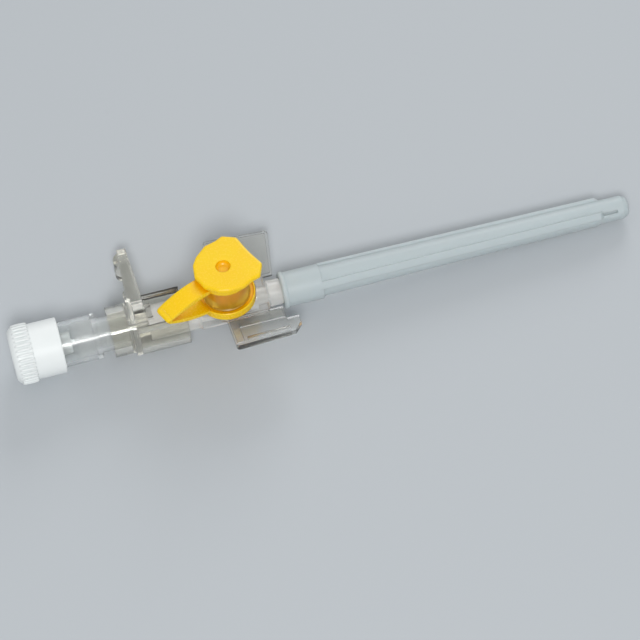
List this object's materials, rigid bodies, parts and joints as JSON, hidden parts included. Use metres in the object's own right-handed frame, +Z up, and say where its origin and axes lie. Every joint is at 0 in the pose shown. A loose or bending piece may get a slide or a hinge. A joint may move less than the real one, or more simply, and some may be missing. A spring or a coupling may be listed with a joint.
{
  "type": "iv cannula",
  "caption": "Winged peripheral IV cannula with an upright injection port, strapped yellow cap, clear needle hub and flashback chamber, white plug and a ribbed needle cover.",
  "frame": {"origin": "centre of the bounding box's footprint, on the table", "axes": "+X from the white plug to the closed tip of the needle cover, +Y to the side of the thumb plate, +Z up from the table"},
  "size_m": [0.1156, 0.0286, 0.0169],
  "materials": {
    "clear_hub": "clear",
    "clear_grip": "clear",
    "clear_chamber": "clear",
    "white_plug": "satin",
    "yellow_cap": "satin",
    "milky_cover": "milky",
    "needle_steel": "polished",
    "bush_steel": "satin",
    "catheter_tube": "satin",
    "silicone": "satin",
    "filter": "porous"
  },
  "bodies": {
    "hub": {"cannula_hub": "clear_hub", "catheter": "catheter_tube", "catheter_bush": "bush_steel", "valve_sleeve": "silicone"},
    "needle_unit": {"needle_hub": "clear_grip", "needle": "needle_steel", "flash_chamber": "clear_chamber"},
    "plug": {"luer_plug": "white_plug", "vent_filter": "filter"},
    "cover": {"needle_cover": "milky_cover"},
    "strap_ring": {"cap_base": "yellow_cap"},
    "cap": {"port_cap": "yellow_cap"}
  },
  "joints": [
    {"name": "needle_withdrawal", "type": "slide", "parent": "hub", "child": "needle_unit", "axis": [-0.9995, 0, 0.032], "range_m": [0, 0.055]},
    {"name": "plug_pull", "type": "slide", "parent": "needle_unit", "child": "plug", "axis": [-0.9995, 0, 0.032], "range_m": [0, 0.01]},
    {"name": "cover_pull", "type": "slide", "parent": "hub", "child": "cover", "axis": [0.9995, 0, -0.032], "range_m": [0, 0.03]},
    {"name": "strap_turn", "type": "hinge", "parent": "hub", "child": "strap_ring", "pos_m": [-0.01769, -0.00233, 0.00506], "axis": [0.0315, 0.1718, 0.9846], "continuous": true},
    {"name": "cap_lift", "type": "hinge", "parent": "strap_ring", "child": "cap", "pos_m": [-0.02993, -0.00621, 0.0141], "axis": [0.3956, -0.9068, 0.1456], "range_deg": [0, 130]}
  ]
}
